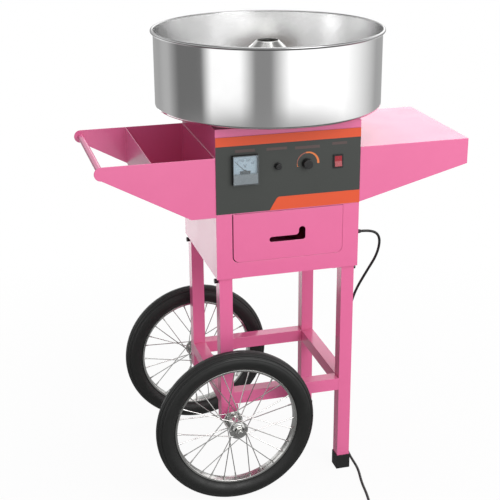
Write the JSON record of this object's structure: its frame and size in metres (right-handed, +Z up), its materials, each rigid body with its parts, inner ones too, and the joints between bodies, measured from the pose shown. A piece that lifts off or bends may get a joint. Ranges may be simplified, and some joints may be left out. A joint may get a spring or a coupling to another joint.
{
  "type": "cotton candy machine cart",
  "caption": "Electric cotton candy machine with a wide metal bowl on a push cart with spoked wheels, a left tray, a right shelf and a drawer.",
  "frame": {"origin": "on the floor, under the axis of the spinner head and bowl, midway between the tips of the tray and the shelf", "axes": "+X to the right towards the shelf, +Y from the control panel to the back, +Z up"},
  "size_m": [0.844, 0.7183, 1.05],
  "materials": {
    "pink_paint": "gloss powder coat",
    "grey_panel": "satin print",
    "orange_film": "satin film",
    "stainless": "bright",
    "plated_steel": "zinc plate",
    "tyre_rubber": "moulded",
    "foot_rubber": "moulded",
    "black_plastic": "moulded",
    "red_plastic": "gloss, translucent",
    "clear_plastic": "clear",
    "dial_card": "printed",
    "brass": "turned",
    "cable_jacket": "extruded",
    "motor_enamel": "satin"
  },
  "bodies": {
    "cart": {"cabinet_shell": "pink_paint", "drawer_rails": "stainless", "leg_front_left": "pink_paint", "leg_rear_left": "pink_paint", "leg_front_right": "pink_paint", "leg_rear_right": "pink_paint", "leg_bolts": "black_plastic", "stretcher_front": "pink_paint", "stretcher_rear": "pink_paint", "stretcher_left": "pink_paint", "stretcher_right": "pink_paint", "foot_front": "foot_rubber", "foot_rear": "foot_rubber", "axle_brackets": "pink_paint", "axle": "stainless", "axle_nuts": "plated_steel", "left_tray": "pink_paint", "push_bar": "pink_paint", "right_shelf": "pink_paint", "machine_housing": "pink_paint", "control_panel": "grey_panel", "panel_stripes": "orange_film", "voltmeter_case": "black_plastic", "voltmeter_dial": "dial_card", "voltmeter_cover": "clear_plastic", "voltmeter_window": "clear_plastic", "fuse_holder": "black_plastic", "regulator_body": "brass", "switch_body": "black_plastic", "motor_plate": "stainless", "motor": "motor_enamel", "brush_holder": "black_plastic", "bowl_pads": "black_plastic", "cord_gland": "black_plastic", "cord_run": "cable_jacket", "cord_coil": "cable_jacket", "plug": "black_plastic"},
    "drawer": {"drawer_front": "pink_paint", "drawer_box": "pink_paint"},
    "wheel_front": {"tyre_front": "tyre_rubber", "rim_front": "plated_steel", "hub_front": "plated_steel", "bearings_front": "plated_steel", "spokes_front": "plated_steel"},
    "wheel_rear": {"tyre_rear": "tyre_rubber", "rim_rear": "plated_steel", "hub_rear": "plated_steel", "bearings_rear": "plated_steel", "spokes_rear": "plated_steel"},
    "spinner": {"drive_shaft": "stainless", "slip_ring_disc": "brass", "head_base": "stainless", "heater_ring": "stainless", "head_cap": "stainless"},
    "bowl_body": {"bowl_wall": "stainless", "bowl_floor": "stainless"},
    "knob": {"regulator_knob": "black_plastic"},
    "rocker": {"switch_rocker": "red_plastic"},
    "needle": {"voltmeter_needle": "black_plastic"},
    "fuse_lid": {"fuse_cap": "black_plastic"}
  },
  "joints": [
    {"name": "drawer_slide", "type": "slide", "parent": "cart", "child": "drawer", "axis": [0, -1, 0], "range_m": [0, 0.2]},
    {"name": "wheel_front_spin", "type": "hinge", "parent": "cart", "child": "wheel_front", "pos_m": [-0.136, -0.2035, 0.185], "axis": [0, 1, 0], "continuous": true},
    {"name": "wheel_rear_spin", "type": "hinge", "parent": "cart", "child": "wheel_rear", "pos_m": [-0.136, 0.2035, 0.185], "axis": [0, 1, 0], "continuous": true},
    {"name": "spinner_spin", "type": "hinge", "parent": "cart", "child": "spinner", "pos_m": [0, 0, 0.88], "axis": [0, 0, 1], "continuous": true},
    {"name": "bowl_lift", "type": "slide", "parent": "cart", "child": "bowl_body", "axis": [0, 0, 1], "range_m": [0, 0.2]},
    {"name": "knob_turn", "type": "hinge", "parent": "cart", "child": "knob", "pos_m": [0.04, -0.1652, 0.7796], "axis": [0, 1, 0], "range_deg": [0, 270]},
    {"name": "rocker_tilt", "type": "hinge", "parent": "cart", "child": "rocker", "pos_m": [0.1115, -0.1637, 0.7785], "axis": [1, 0, 0], "range_deg": [0, 14]},
    {"name": "needle_swing", "type": "hinge", "parent": "cart", "child": "needle", "pos_m": [-0.0997, -0.1652, 0.774], "axis": [0, 1, 0], "range_deg": [0, 90], "stiffness_Nm_per_rad": 0.0001},
    {"name": "fuse_cap_turn", "type": "hinge", "parent": "cart", "child": "fuse_lid", "pos_m": [-0.026, -0.1652, 0.7786], "axis": [0, 1, 0], "range_deg": [0, 90]}
  ]
}
